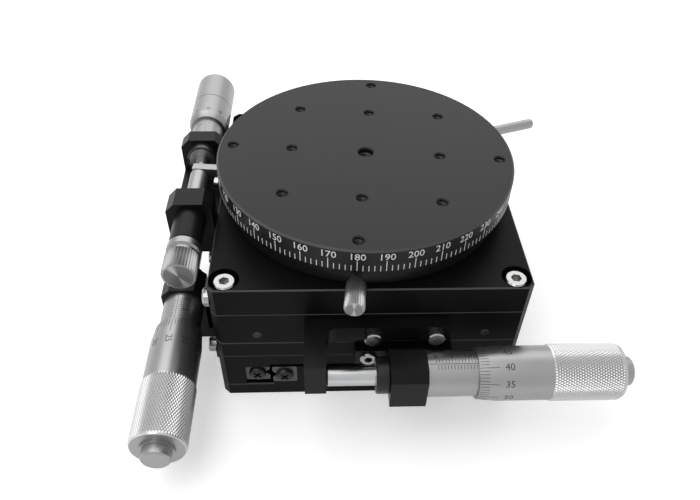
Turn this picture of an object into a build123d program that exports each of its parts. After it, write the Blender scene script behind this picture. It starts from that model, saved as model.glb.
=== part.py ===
from build123d import *
from math import cos, pi, radians, sin, sqrt, tan
import os

os.makedirs("parts", exist_ok=True)

# Three-axis positioning stage: two crossed-roller slides carry a rotation table.
# Millimetres. +Z is up. The origin lies on the table's axis at the underside of the base.
# The lower slide runs along Y, the upper slide along X. Micrometers stand at mid reading.

# ---- driving sizes ----
stage_width = 100.0
corner_cut = 2.0          # upright corner chamfers of every plate
edge_cut = 0.4            # bright chamfer around the top edge of each plate
running_gap = 0.3         # between a fixed and a moving flat face
fit_gap = 0.02            # radial clearance of running fits
screw_play = 0.2          # radial clearance of a screw in its clearance hole

# slides, from the bottom up: base plate, rail pad, rails, head room, table plate
y_base_thick, y_pad, y_head_room, y_slab = 5.3, 1.3, 1.3, 5.0
x_base_thick, x_pad, x_head_room, x_slab = 6.5, 1.0, 0.6, 4.0
y_slide_length, x_slide_length = 100.0, 100.0
y_travel_low, y_travel_high = -12.5, 10.0
x_travel_low, x_travel_high = -12.5, 12.0

# crossed-roller guides
rail_high, rail_wide = 8.0, 8.3
rail_gap = 1.0            # between the facing sides of a rail pair
rail_setback = 1.0        # the moving rails end this far inside the table's end faces
wall_thick = 8.3          # table skirt outside the outer rail
roller_dia = 3.0
roller_length = 2.7
roller_count, roller_pitch = 9, 6.5
cage_thick, cage_high = 0.5, 5.0
rail_screw_pitch, rail_screw_count = 32.0, 3

spring_room = 5.0         # half width of the slot that the return spring lies in
spring_half = 30.0        # posts stand this far from the middle
post_radius = 1.5
spring_radius, wire_radius, spring_turns, spring_coil = 3.0, 0.6, 5, 30.0

# rotation table
body_high = 10.6
body_screw_at = 45.0
bearing_mid_radius = 31.0
bearing_high, bearing_wall = 7.0, 6.0
bearing_floor = 2.6       # body floor under the bearing
ring_roller_count = 20
ring_gap = 0.3            # clamp ring to its neighbours above and below
ring_high = 6.3
ring_radius, ring_inner = 47.4, 40.0
disc_thick, disc_radius, disc_bevel = 8.4, 49.8, 0.6
disc_angle = -5.7         # where ring and disc stand at rest, seen from above
hole_pitch = 25.0         # square grid of tapped holes
outer_hole_radius = 45.0
small_tap_radius, centre_tap_radius = 1.65, 2.5
tap_mouth = 0.4           # chamfer at the mouth of a tapped hole
lever_angle, lever_radius, lever_out, lever_drop = 25.1, 1.75, 16.2, 2.5

# fasteners
head_radius, head_high, shank_radius = 2.75, 3.0, 1.5      # M3 cap screw
big_head_radius, big_head_high, big_shank = 3.5, 4.0, 2.0  # M4 cap screw
big_counterbore = 4.75
pan_head_radius, pan_head_high = 3.0, 1.4

# large micrometers, 25 mm travel, 0.5 mm a turn
spindle_radius, sleeve_radius = 3.175, 7.0
stem_radius, lock_nut_radius, lock_nut_long = 5.0, 5.85, 4.2
block_long, block_half, block_drop, block_rise, block_cut = 11.4, 7.4, 6.6, 8.0, 3.0
zero_offset = 2.7         # from the holder's face to the sleeve's zero line
sleeve_long = 45.0
thimble_taper, thimble_plain, knurl_long, cap_long = 6.3, 16.4, 22.8, 4.0
thimble_edge_radius, thimble_radius, knurl_radius = 7.9, 8.6, 9.0
cap_radius = 4.6
spindle_reach = 46.5      # from the thimble's edge to the spindle's tip
x_mic_out, x_mic_z, x_reading = 14.0, 27.75, 12.92    # out: from the side of the stage
x_block_left = 5.3
y_mic_out, y_mic_z, y_reading = 15.0, 17.4, 10.2
y_block_front = -24.0
anvil_gap = 0.05          # spindle tip to anvil, closed by the return spring in use

bar_thick = 4.1           # plates screwed to the sides of the stage
head_clear = 0.4          # moving bracket past the heads of the screws beside it
holder_plate_half = 15.7
holder_screw_at = 11.4    # from the middle of the holder
anvil_arm_wide, anvil_bar_long, anvil_screw_pitch = 6.6, 45.2, 19.7
anvil_screw_inset = 21.4  # from the end of the bar at the arm to the nearer screw
arm_outer, post_inner, post_drop = 5.5, 4.5, 2.05
corner_radius = 4.0
base_tap_radius, base_hole_pitch = 2.5, 75.0
carriage_sink, carriage_grip = 4.3, 3.0   # screws that hold the X slide on the Y table

# fine rotation drive
fine_out, fine_drop = 7.7, 0.15    # from the side of the body, below the middle of the ring
bar_high = 7.6            # ledge bolted to the side of the body
fine_block_half, fine_block_rise, fine_block_cut = 7.4, 6.4, 2.8
rear_block_front, rear_block_long = 15.5, 6.0
front_block_front, front_block_long = -21.0, 8.7
fine_sleeve_radius, fine_spindle_radius = 5.6, 2.0
fine_thimble_radius = 7.3
fine_stem_radius = 4.5
fine_thimble_edge = 31.6  # along Y, at rest
fine_travel_in, fine_travel_out = 9.0, 4.0
arm_wide, arm_past, arm_high = 3.0, 2.5, 4.6      # past: beyond the spindle axis
plunger_radius, housing_radius, knob_radius = 3.0, 5.1, 5.3
housing_long, knob_long = 13.0, 8.5
spindle_dome, plunger_dome = 3.0, 4.0     # sphere radii of the domed ends
fine_gap = 0.12           # spindle to arm at rest: leaves room as the arm leans

# clamp knob
clamp_radius, clamp_long = 3.1, 13.4
clamp_stroke = 0.25       # travel of the brass pad
pad_radius = 1.9


# ---- shapes ----
def span_box(x_low, x_high, y_low, y_high, z_low, z_high):
    size = Box(x_high - x_low, y_high - y_low, z_high - z_low)
    return Pos((x_low + x_high) / 2, (y_low + y_high) / 2, (z_low + z_high) / 2) * size


def turned(radius, start, end, x=0.0, z=0.0):
    """A cylinder along Y between two places on Y."""
    return Pos(x, (start + end) / 2, z) * Rot(90, 0, 0) * Cylinder(radius, abs(end - start))


def upright(radius, z_low, z_high, x=0.0, y=0.0):
    return Pos(x, y, (z_low + z_high) / 2) * Cylinder(radius, z_high - z_low)


def tube(outer, inner, z_low, z_high):
    return upright(outer, z_low, z_high) - upright(inner, z_low - 1, z_high + 1)


def spun(points):
    """A turned piece about Z from its half outline: (radius, height)."""
    return revolve(Plane.XZ * make_face(Polyline(*points, close=True)), Axis.Z)


def domed(radius, dome, length):
    """A rod up from its domed end, whose tip is at the origin."""
    return upright(radius, 0, length) & (upright(radius + 1, dome, length)
                                         + Pos(0, 0, dome) * Sphere(dome))


def plate(z_low, z_high, bevel=edge_cut):
    """A square plate with chamfered corners and a bright chamfer round its top."""
    solid = Pos(0, 0, (z_low + z_high) / 2) * Box(stage_width, stage_width, z_high - z_low)
    solid = chamfer(solid.edges().filter_by(Axis.Z), corner_cut)
    if bevel:
        solid = chamfer(solid.faces().sort_by(Axis.Z)[-1].outer_wire().edges(), bevel)
    return solid


def cap_screw(head_r, head_h, shank_r, length):
    """Head above the seat at z = 0, shank below it."""
    head = Pos(0, 0, head_h / 2) * Cylinder(head_r, head_h)
    head = chamfer(head.faces().sort_by(Axis.Z)[-1].edges(), 0.35)
    return head + Pos(0, 0, -length / 2) * Cylinder(shank_r, length)


def save(name, shapes):
    shapes = shapes if isinstance(shapes, list) else [shapes]
    solids = [solid for shape in shapes for solid in shape.solids()]
    export_step(Compound(children=solids) if len(solids) > 1 else solids[0],
                f"parts/{name}.step")


to_left = Rot(0, -90, 0)     # a screw standing along +Z turned to stand along -X
to_right = Rot(0, 90, 0)     # ... along +X


def pan_screw(length):
    return spun([(0, -length), (shank_radius, -length), (shank_radius, 0), (pan_head_radius, 0),
                 (pan_head_radius, 0.5), (pan_head_radius - 0.7, pan_head_high),
                 (0, pan_head_high)])


def drill_ends(piece, end, z_mid, x):
    """Tapped holes for the stop screws in both ends of a rail."""
    side = 1 if piece.center().X > 0 else -1
    for front in (-1, 1):
        piece -= turned(shank_radius, front * (end + 1), front * (end - 10), side * x, z_mid)
    return piece


def spring(z_mid):
    """Extension spring along Y: coils and a straight wire past the post at each end."""
    path = Helix(spring_coil / spring_turns, spring_coil, spring_radius)
    start = path @ 0
    section = Plane(origin=start, z_dir=path % 0) * Circle(wire_radius)
    coil = sweep(section, path)
    coil = Rot(-90, 0, 0) * Pos(0, 0, -spring_coil / 2) * coil
    hook_from, hook_to = spring_coil / 2 + wire_radius, spring_half + 1.0
    hooks = [turned(wire_radius, side * hook_from, side * hook_to, spring_radius)
             for side in (-1, 1)]
    return [Pos(0, 0, z_mid) * piece for piece in [coil] + hooks]


# ---- crossed-roller slides ----
channel = roller_dia + 2 * fit_gap          # side of the square roller channel
groove_deep = channel / sqrt(2) - rail_gap / 2
inner_back = 24.1                           # inner rails lean on the base's middle wall
inner_face = inner_back + rail_wide
guide_mid = inner_face + rail_gap / 2
outer_face = inner_face + rail_gap
outer_back = outer_face + rail_wide
skirt_out = stage_width / 2


def rail(back, face, z_mid, length):
    """A rail along Y with a 90 degree groove, its relief slot and screw holes."""
    side = 1 if face > back else -1
    solid = span_box(min(back, face), max(back, face), -length / 2, length / 2,
                     z_mid - rail_high / 2, z_mid + rail_high / 2)
    solid = chamfer(solid.edges().filter_by(Axis.Y), 0.4)
    notch = Pos(guide_mid, 0, z_mid) * Rot(0, 45, 0) * Box(channel, length + 2, channel)
    slot_end = face - side * (groove_deep + 0.5)
    slot = span_box(min(face, slot_end), max(face, slot_end), -length / 2 - 1, length / 2 + 1,
                    z_mid - 0.3, z_mid + 0.3)
    return solid - notch - slot


def rail_screw_places(x):
    middle = (rail_screw_count - 1) / 2
    return [(x, (i - middle) * rail_screw_pitch) for i in range(rail_screw_count)]


def build_slide(name, z_low, base_thick, pad, head_room, slab, place, length, travel, pull):
    """All pieces of one slide, modelled along Y and then put in place.
    The return spring pulls the table towards the side that pull names."""
    z_base = z_low + base_thick
    z_rail = z_base + pad
    z_mid = z_rail + rail_high / 2
    z_rail_top = z_rail + rail_high
    z_slab = z_rail_top + head_room
    z_top = z_slab + slab
    end = length / 2
    inner_screw_x = inner_back + rail_wide / 2 - 0.6
    outer_screw_x = outer_back - rail_wide / 2 + 0.6
    counter = head_radius + screw_play
    sink = head_high + 0.3

    # base: plate, rail pads and the middle wall that locates the inner rails
    base = plate(z_low, z_base)
    base += span_box(-inner_face + 0.3, inner_face - 0.3, -end, end, z_base - 0.5, z_rail)
    base += span_box(-inner_back, inner_back, -end, end, z_base - 0.5, z_rail_top)
    slot_end = spring_half + travel + post_radius + 1
    spring_slot = span_box(-spring_room, spring_room, -slot_end, slot_end, z_rail, z_top)
    base -= spring_slot

    # table: plate, step over the outer rails and the skirts outside them
    table = plate(z_slab, z_top)
    skirts = plate(z_base + running_gap, z_slab + 1, bevel=0)
    skirts -= span_box(-outer_back, outer_back, -end - 1, end + 1, z_low, z_rail_top)
    skirts -= span_box(-outer_face, outer_face, -end - 1, end + 1, z_low, z_slab)
    table += skirts

    rails_in, rails_out, screws_in, screws_out = [], [], [], []
    for side in (-1, 1):
        inner = rail(inner_back, inner_face, z_mid, length)
        outer = rail(outer_back, outer_face, z_mid, length - 2 * rail_setback)
        for x, y in rail_screw_places(inner_screw_x):
            inner -= upright(shank_radius + screw_play, z_low, z_top, x, y)
            inner -= upright(counter, z_rail_top - sink, z_top, x, y)
            screws_in.append((side * x, y, z_rail_top - sink))
        for x, y in rail_screw_places(outer_screw_x):
            outer -= upright(shank_radius + screw_play, z_low, z_top, x, y)
            outer -= upright(counter, z_low, z_rail + sink, x, y)
            screws_out.append((side * x, y, z_rail + sink))
        flip = Rot(0, 0, 0 if side > 0 else 180)
        rails_in.append(flip * inner)
        rails_out.append(flip * outer)

    short_screw = cap_screw(head_radius, head_high, shank_radius, rail_high - sink + pad + 3.0)
    top_screw = cap_screw(head_radius, head_high, shank_radius, rail_high - sink + 3.0)
    pan = pan_screw(8.0)
    inner_group = [Pos(*p) * short_screw for p in screws_in]
    outer_group = [Pos(*p) * Rot(180, 0, 0) * top_screw for p in screws_out]
    for hole in screws_in:
        base -= upright(shank_radius, hole[2] - rail_high - pad - 3.0 + sink, hole[2], *hole[:2])
    for hole in screws_out:
        table -= upright(shank_radius, hole[2], hole[2] + rail_high - sink + 3.0, *hole[:2])

    # stop screws in the rail ends hold the roller cages in
    for side in (-1, 1):
        for front in (-1, 1):
            facing = Rot(90 * -front, 0, 0)
            inner_x = side * (inner_back + rail_wide / 2)
            outer_x = side * (outer_back - rail_wide / 2)
            inner_group.append(Pos(inner_x, front * end, z_mid) * facing * pan)
            outer_group.append(Pos(outer_x, front * (end - rail_setback), z_mid) * facing * pan)
    rails_in = [drill_ends(r, end, z_mid, inner_back + rail_wide / 2) for r in rails_in]
    rails_out = [drill_ends(r, end, z_mid, outer_back - rail_wide / 2) for r in rails_out]

    # roller cages: a thin strip in each rail gap, rollers crossed alternately
    cages = []
    middle = (roller_count - 1) / 2
    strip_end = (middle + 0.8) * roller_pitch
    for side in (-1, 1):
        x = side * guide_mid
        strip = span_box(x - cage_thick / 2, x + cage_thick / 2, -strip_end, strip_end,
                         z_mid - cage_high / 2, z_mid + cage_high / 2)
        for i in range(roller_count):
            tilt = 45 if i % 2 else -45
            seat = Pos(x, (i - middle) * roller_pitch, z_mid) * Rot(0, tilt, 0)
            cages.append(seat * Cylinder(roller_dia / 2, roller_length))
            strip -= seat * Cylinder(roller_dia / 2 + 0.1, roller_length + 0.2)
        cages.append(strip)

    # return spring: hooked to a post on the base and to a post under the table
    base_post = upright(post_radius, z_rail - 2.0, z_mid + 1.5, 0, pull * spring_half)
    table_post = upright(post_radius, z_mid - 2.5, z_slab + 2.0, 0, -pull * spring_half)
    base -= base_post
    table -= table_post
    inner_group.append(base_post)
    outer_group.append(table_post)

    pieces = {
        "base": base, "table": table, "inner_rails": rails_in, "outer_rails": rails_out,
        "base_fasteners": inner_group, "table_fasteners": outer_group,
        "roller_cages": cages, "return_spring": spring(z_mid),
    }
    built = {}
    for piece, shapes in pieces.items():
        shapes = shapes if isinstance(shapes, list) else [shapes]
        built[piece] = [place * shape for shape in shapes]
    return built, z_top


y_slide, y_top = build_slide("y", 0.0, y_base_thick, y_pad, y_head_room, y_slab,
                             Pos(0, 0, 0), y_slide_length, -y_travel_low, -1)
x_slide, x_top = build_slide("x", y_top, x_base_thick, x_pad, x_head_room, x_slab,
                             Rot(0, 0, -90), x_slide_length, -x_travel_low, 1)
x_base_top = y_top + x_base_thick

# tapped holes under the base plate, and the screws that hold the X slide on the Y table
carriage_seat = x_base_top - carriage_sink
carriage_screw = cap_screw(big_head_radius, big_head_high, big_shank,
                           carriage_seat - y_top + carriage_grip)
foot, y_table, x_base = y_slide["base"][0], y_slide["table"][0], x_slide["base"][0]
corners = [(x, y) for x in (-1, 1) for y in (-1, 1)]
for x, y in corners:
    foot -= upright(base_tap_radius, -1, y_base_thick + 1,
                    x * base_hole_pitch / 2, y * base_hole_pitch / 2)
    at = (x * body_screw_at, y * body_screw_at)
    y_table -= upright(big_shank, y_top - carriage_grip, y_top + 1, *at)
    x_base -= upright(big_shank + screw_play, y_top - 1, x_base_top + 1, *at)
    x_base -= upright(big_head_radius + screw_play, carriage_seat, x_base_top + 1, *at)
    x_slide["base_fasteners"].append(Pos(*at, carriage_seat) * carriage_screw)
y_slide["base"], y_slide["table"], x_slide["base"] = [foot], [y_table], [x_base]


# ---- micrometers ----
# Local frame: the holder's face at the origin, the thimble towards -Y, the stage towards +X.
def turned_along(points):
    """A turned piece from (radius, distance towards the thimble) points."""
    return Rot(90, 0, 0) * spun(points)


def large_micrometer(reading):
    edge = zero_offset + reading
    tip = edge - spindle_reach
    taper = edge + thimble_taper
    plain = taper + thimble_plain
    knurl = plain + knurl_long
    end = knurl + cap_long
    cavity = sleeve_long + reading + 0.5
    bore = spindle_radius + fit_gap
    nut_start = -block_long - lock_nut_long
    tail = knurl - 2.0

    sleeve = turned_along([(bore, nut_start), (stem_radius, nut_start), (stem_radius, 0),
                           (sleeve_radius, 0), (sleeve_radius, sleeve_long), (bore, sleeve_long)])
    nut = turned_along([(stem_radius, nut_start), (lock_nut_radius - 0.3, nut_start),
                        (lock_nut_radius, nut_start + 0.3), (lock_nut_radius, -block_long - 0.3),
                        (lock_nut_radius - 0.3, -block_long), (stem_radius, -block_long)])
    spindle = turned_along([(0, tip), (spindle_radius - 0.5, tip), (spindle_radius, tip + 0.5),
                            (spindle_radius, cavity), (spindle_radius, tail), (0, tail)])
    inside = sleeve_radius + fit_gap
    thimble = turned_along([
        (inside, edge), (thimble_edge_radius, edge), (thimble_radius, taper),
        (thimble_radius, plain), (knurl_radius - 0.3, plain), (knurl_radius, plain + 0.3),
        (knurl_radius, knurl - 0.5), (knurl_radius - 0.5, knurl), (0, knurl), (0, tail + 0.1),
        (bore, tail + 0.1), (bore, cavity), (inside, cavity)])
    cap = turned_along([(0, knurl), (cap_radius + 0.8, knurl), (cap_radius + 0.8, knurl + 0.8),
                        (cap_radius, knurl + 0.8), (cap_radius, end - 0.5),
                        (cap_radius - 0.5, end), (0, end)])
    return {"sleeve": sleeve, "lock_nut": nut, "spindle": spindle, "thimble": thimble,
            "thimble_cap": cap}, tip


def holder_block(inner_half, outer_half, drop, rise, cut, long):
    """The clamping block of a micrometer, chamfered along its two upper edges."""
    block = span_box(-outer_half, inner_half, 0, long, -drop, rise)
    upper = block.edges().filter_by(Axis.Y).group_by(Axis.Z)[-1]
    return chamfer(upper, cut)


def anvil(stage_face, top, bar_low, post_low):
    """L-shaped bracket on the moving plate, met by the spindle tip at the local origin."""
    bar_side = stage_face - bar_thick
    arm = span_box(-arm_outer, stage_face, 0, anvil_arm_wide, bar_low, top)
    bar = span_box(bar_side, stage_face, anvil_arm_wide - anvil_bar_long, anvil_arm_wide,
                   bar_low, top)
    post = span_box(-arm_outer + 0.3, post_inner, 0, anvil_arm_wide, post_low, bar_low + 0.5)
    corner = span_box(bar_side - corner_radius, bar_side, -corner_radius, 0, bar_low, top)
    corner -= upright(corner_radius, bar_low - 1, top + 1, bar_side - corner_radius,
                      -corner_radius)
    return arm + bar + post + corner


def side_screws(x, z, places, length):
    """Cap screws whose heads stand towards -X in the local frame."""
    screw = cap_screw(head_radius, head_high, shank_radius, length)
    return [Pos(x, y, z) * to_left * screw for y in places]


def drill_side(solid, x, z, places, depth, radius):
    for y in places if depth else []:
        solid -= Pos(x + depth / 2, y, z) * Rot(0, 90, 0) * Cylinder(radius, depth)
    return solid


def build_drive(place, reading, inner_half, stage_face, plate_low, plate_top, anvil_top,
                anvil_low, sink=0.0):
    """Holder, micrometer, anvil and their screws for one slide, in the local frame.
    The holder's screw heads are sunk where the thimble passes over them."""
    pieces, tip = large_micrometer(reading)
    middle = block_long / 2
    holder = holder_block(inner_half, block_half, block_drop, block_rise, block_cut, block_long)
    bar_side = stage_face - bar_thick
    plate_z = (plate_low + plate_top) / 2
    holder += span_box(bar_side, stage_face, middle - holder_plate_half,
                       middle + holder_plate_half, plate_low, plate_top)
    holder += span_box(inner_half - 1, bar_side + 1, 0, block_long, plate_low, plate_top)
    if plate_top < -block_drop:
        holder += span_box(0, inner_half, 0, block_long, plate_low, 1 - block_drop)
    holder -= turned(stem_radius, -1, block_long + 1)
    screw_places = [middle - holder_screw_at, middle + holder_screw_at]
    seat = bar_side + sink
    holder_screws = side_screws(seat, plate_z, screw_places, bar_thick - sink + 5)
    holder = drill_side(holder, bar_side, plate_z, screw_places, bar_thick, shank_radius)
    holder = drill_side(holder, bar_side, plate_z, screw_places, sink, head_radius + 0.1)

    at_tip = Pos(0, -tip + anvil_gap, 0)
    anvil_z = (anvil_top + anvil_low) / 2
    nearer = anvil_arm_wide - anvil_screw_inset
    anvil_places = [nearer, nearer - anvil_screw_pitch]
    bracket = anvil(stage_face, anvil_top, anvil_low, -post_drop)
    bracket = drill_side(bracket, bar_side, anvil_z, anvil_places, bar_thick, shank_radius)
    anvil_screws = side_screws(bar_side, anvil_z, anvil_places, bar_thick + 5)
    pieces.update({"holder": holder, "holder_screws": holder_screws,
                   "anvil": at_tip * bracket,
                   "anvil_screws": [at_tip * screw for screw in anvil_screws]})
    built = {}
    for piece, shapes in pieces.items():
        shapes = shapes if isinstance(shapes, list) else [shapes]
        built[piece] = [place * shape for shape in shapes]
    return built, place * at_tip


def drill_stage(solids, place, y_places, x, z, depth):
    """The tapped holes of bracket screws in the side of a plate."""
    solid = solids[0]
    for y in y_places:
        hole = Pos(x + depth / 2, y, z) * Rot(0, 90, 0) * Cylinder(shank_radius, depth)
        solid -= place * hole
    return [solid]


x_face, y_face = x_mic_out, y_mic_out
x_mic_y = -stage_width / 2 - x_mic_out
y_mic_x = -stage_width / 2 - y_mic_out
x_place = Pos(x_block_left + block_long, x_mic_y, x_mic_z) * Rot(0, 0, 90)
y_place = Pos(y_mic_x, y_block_front, y_mic_z)
x_anvil_top = x_top - 2.2 - x_mic_z
y_anvil_top = x_base_top - 0.4 - y_mic_z
x_inner_half = x_face - bar_thick - head_high - head_clear
y_inner_half = y_face - bar_thick - head_high - head_clear

x_drive, x_tip = build_drive(
    x_place, x_reading, x_inner_half, x_face, y_top - x_mic_z, x_base_top - x_mic_z,
    x_anvil_top, x_anvil_top - 5.8, sink=1.9)
y_drive, y_tip = build_drive(
    y_place, y_reading, y_inner_half, y_face, 0.3 - y_mic_z, y_base_thick - 0.1 - y_mic_z,
    y_anvil_top, y_anvil_top - 5.8)

holder_places = [block_long / 2 - holder_screw_at, block_long / 2 + holder_screw_at]
nearer = anvil_arm_wide - anvil_screw_inset
anvil_places = [nearer, nearer - anvil_screw_pitch]
x_slide["base"] = drill_stage(x_slide["base"], x_place, holder_places, x_face,
                              (y_top + x_base_top) / 2 - x_mic_z, 5.0)
y_slide["base"] = drill_stage(y_slide["base"], y_place, holder_places, y_face,
                              (0.3 + y_base_thick - 0.1) / 2 - y_mic_z, 5.0)
x_slide["table"] = drill_stage(x_slide["table"], x_tip, anvil_places, x_face,
                               x_anvil_top - 2.9, 5.0)
x_slide["base"] = drill_stage(x_slide["base"], y_tip, anvil_places, y_face,
                              y_anvil_top - 2.9, 5.0)

# ---- rotation table ----
body_top = x_top + body_high
race_low = x_top + bearing_floor
race_top = race_low + bearing_high
race_mid = (race_low + race_top) / 2
race_outer = bearing_mid_radius + rail_gap / 2 + bearing_wall
race_inner = bearing_mid_radius - rail_gap / 2 - bearing_wall
outer_lip = bearing_mid_radius + rail_gap / 2
inner_lip = bearing_mid_radius - rail_gap / 2
half_diagonal = channel / sqrt(2)
retainer_radius = race_outer + 3.5
nut_radius = race_inner + 3.0
ring_low = body_top + ring_gap
disc_low = ring_low + ring_high + ring_gap
disc_top = disc_low + disc_thick
disc_turn = Rot(0, 0, disc_angle)

seat_z = body_top - big_head_high - 0.6
body = plate(x_top, body_top)
body -= upright(nut_radius + 1.0, x_top - 1, race_low + 1)
body -= upright(race_outer, race_low, body_top + 1)
body -= upright(retainer_radius, race_top, body_top + 1)
body_screws = []
body_screw = cap_screw(big_head_radius, big_head_high, big_shank, seat_z - x_top + x_slab - 1.0)
for x, y in corners:
    x, y = x * body_screw_at, y * body_screw_at
    body -= upright(big_shank + screw_play, x_top - 1, body_top + 1, x, y)
    body -= upright(big_counterbore, seat_z, body_top + 1, x, y)
    body_screws.append(Pos(x, y, seat_z) * body_screw)
    x_slide["table"] = [x_slide["table"][0]
                        - upright(big_shank, x_top - x_slab + 1.0, x_top + 1, x, y)]
side_screw = cap_screw(3.0, 2.0, shank_radius, 6.0)
side_screw_place = Pos(-stage_width / 2, -body_screw_at - 0.5, x_top + 3.6) * to_left
body_screws.append(side_screw_place * side_screw)
body -= side_screw_place * Pos(0, 0, -3.0) * Cylinder(shank_radius, 6.0)

outer_races = [spun([(outer_lip, race_low), (race_outer, race_low), (race_outer, race_mid),
                     (bearing_mid_radius + half_diagonal, race_mid),
                     (outer_lip, race_mid - half_diagonal + rail_gap / 2)]),
               spun([(outer_lip, race_top), (race_outer, race_top), (race_outer, race_mid),
                     (bearing_mid_radius + half_diagonal, race_mid),
                     (outer_lip, race_mid + half_diagonal - rail_gap / 2)])]
inner_race = spun([(race_inner, race_low), (inner_lip, race_low),
                   (inner_lip, race_mid - half_diagonal + rail_gap / 2),
                   (bearing_mid_radius - half_diagonal, race_mid),
                   (inner_lip, race_mid + half_diagonal - rail_gap / 2),
                   (inner_lip, race_top), (race_inner, race_top)])
retainer = tube(retainer_radius, race_outer - 4.0, race_top, body_top)

bearing_rollers = []
bearing_cage = tube(bearing_mid_radius + cage_thick / 2, bearing_mid_radius - cage_thick / 2,
                    race_mid - cage_high / 2, race_mid + cage_high / 2)
for i in range(ring_roller_count):
    tilt = 45 if i % 2 else -45
    seat = Rot(0, 0, i * 360 / ring_roller_count) * Pos(bearing_mid_radius, 0, race_mid)
    seat = seat * Rot(0, tilt, 0)
    bearing_rollers.append(seat * Cylinder(roller_dia / 2, roller_length))
    bearing_cage -= seat * Cylinder(roller_dia / 2 + 0.1, roller_length + 0.2)
bearing_rollers.append(bearing_cage)

hub_bore, nut_seat = 10.0, race_inner - 2.5
nut_low = x_top + 0.4
flange_radius = ring_inner - fit_gap
hub = spun([(hub_bore, nut_low), (nut_seat, nut_low), (nut_seat, race_low),
            (race_inner, race_low), (race_inner, race_top), (race_inner + 3.5, race_top),
            (race_inner + 3.5, ring_low), (flange_radius, ring_low), (flange_radius, disc_low),
            (hub_bore, disc_low)])
hub_nut = tube(nut_radius, nut_seat, nut_low, race_low)

disc = upright(disc_radius, disc_low, disc_top)
disc = chamfer(disc.edges().filter_by(GeomType.CIRCLE), disc_bevel)
grid = [(i * hole_pitch, j * hole_pitch) for i in (-1, 0, 1) for j in (-1, 0, 1) if i or j]
rim_holes = [(outer_hole_radius * cos(radians(a)), outer_hole_radius * sin(radians(a)))
             for a in (0, 90, 180, 270)]


def tapped(solid, radius, x, y):
    solid -= upright(radius, disc_low - 1, disc_top + 1, x, y)
    mouth = Cone(radius, radius + 2 * tap_mouth, 2 * tap_mouth)
    return solid - Pos(x, y, disc_top) * mouth


for x, y in grid + rim_holes:
    disc = tapped(disc, small_tap_radius, x, y)
disc = tapped(disc, centre_tap_radius, 0, 0)
lever_z = disc_top - lever_drop
lever_start = disc_radius - 5.0
lever = upright(lever_radius, 0, disc_radius + lever_out - lever_start)
lever = fillet(lever.edges().filter_by(GeomType.CIRCLE).sort_by(Axis.Z)[-1:], lever_radius * 0.6)
lever = Rot(0, 0, lever_angle) * Pos(lever_start, 0, lever_z) * to_right * lever
disc -= lever

# clamp ring with the tangent arm and the clamp knob, turned with the disc at rest
ring = tube(ring_radius, ring_inner, ring_low, ring_low + ring_high)
ring = chamfer(ring.edges().filter_by(GeomType.CIRCLE).group_by(Axis.Z)[-1].sort_by(
    SortBy.LENGTH)[-1:], 0.4)
clamp_z = ring_low + ring_high / 2
fine_x, fine_z = -stage_width / 2 - fine_out, clamp_z - fine_drop
arm_reach = arm_past - fine_x
arm_flat = ring_radius - 1.0
flange_half, flange_thick = 8.5, 3.2
ring -= span_box(-ring_radius - 1, -arm_flat, -flange_half - 0.3, flange_half + 0.3,
                 ring_low - 1, ring_low + ring_high + 1)
arm = span_box(-arm_flat - flange_thick, -arm_flat, -flange_half, flange_half,
               ring_low + 0.3, ring_low + ring_high - 0.3)
arm += span_box(-arm_reach, -arm_flat - 1, -arm_wide / 2, arm_wide / 2,
                fine_z - arm_high / 2, fine_z + arm_high / 2)
arm_screw = cap_screw(2.0, 1.9, 1.0, flange_thick + 3.5)
arm_screws = []
for side in (-1, 1):
    place = Pos(-arm_flat - flange_thick, side * 6.0, ring_low + ring_high / 2) * to_left
    arm_screws.append(place * arm_screw)
    hole = place * Pos(0, 0, -(flange_thick + 3.5) / 2) * Cylinder(1.0, flange_thick + 3.5)
    arm -= hole
    ring -= hole

pad_start, pad_end = ring_inner + 0.3, ring_inner + 4.0
knob_start = ring_radius + 0.9
pad = turned(pad_radius, -pad_start, -pad_end, 0, clamp_z)
knob = turned_along([(0, pad_end), (shank_radius, pad_end), (shank_radius, knob_start),
                     (clamp_radius - 0.3, knob_start),
                     (clamp_radius, knob_start + 0.3), (clamp_radius, knob_start + clamp_long - 0.3),
                     (clamp_radius - 0.3, knob_start + clamp_long), (0, knob_start + clamp_long)])
knob = Pos(0, 0, clamp_z) * knob
ring -= turned(pad_radius + fit_gap, -ring_inner + 1, -pad_end - 0.3, 0, clamp_z)
ring -= turned(shank_radius + fit_gap, -pad_end, -ring_radius - 1, 0, clamp_z)

# ---- fine rotation drive ----
body_side = -stage_width / 2
fine_left = fine_x - fine_block_half
bar_low = x_top + 0.2
bar_top = bar_low + bar_high
rear_block_back = rear_block_front + rear_block_long
front_block_back = front_block_front + front_block_long
bracket = span_box(fine_left, body_side, front_block_front, rear_block_back, bar_low, bar_top)
for front, long in ((rear_block_front, rear_block_long), (front_block_front, front_block_long)):
    block = holder_block(fine_block_half, fine_block_half, fine_z - bar_top + 1, fine_block_rise,
                         fine_block_cut, long)
    bracket += Pos(fine_x, front, fine_z) * block
bracket -= turned(fine_stem_radius, rear_block_front - 1, rear_block_back + 1, fine_x, fine_z)
bracket -= turned(housing_radius, front_block_front - 1, front_block_back + 1, fine_x, fine_z)
bracket_screws = []
bar_z = (bar_low + bar_top) / 2
for y in (-12.0, 12.0):
    place = Pos(fine_left + head_high + 0.5, y, bar_z) * to_left
    bracket_screws.append(place * cap_screw(head_radius, head_high, shank_radius, 16.0))
    bracket -= place * Cylinder(shank_radius, 60)
    bracket -= place * Pos(0, 0, 5) * Cylinder(head_radius + screw_play, 10)
    body -= place * Pos(0, 0, -8) * Cylinder(shank_radius, 16)

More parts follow.
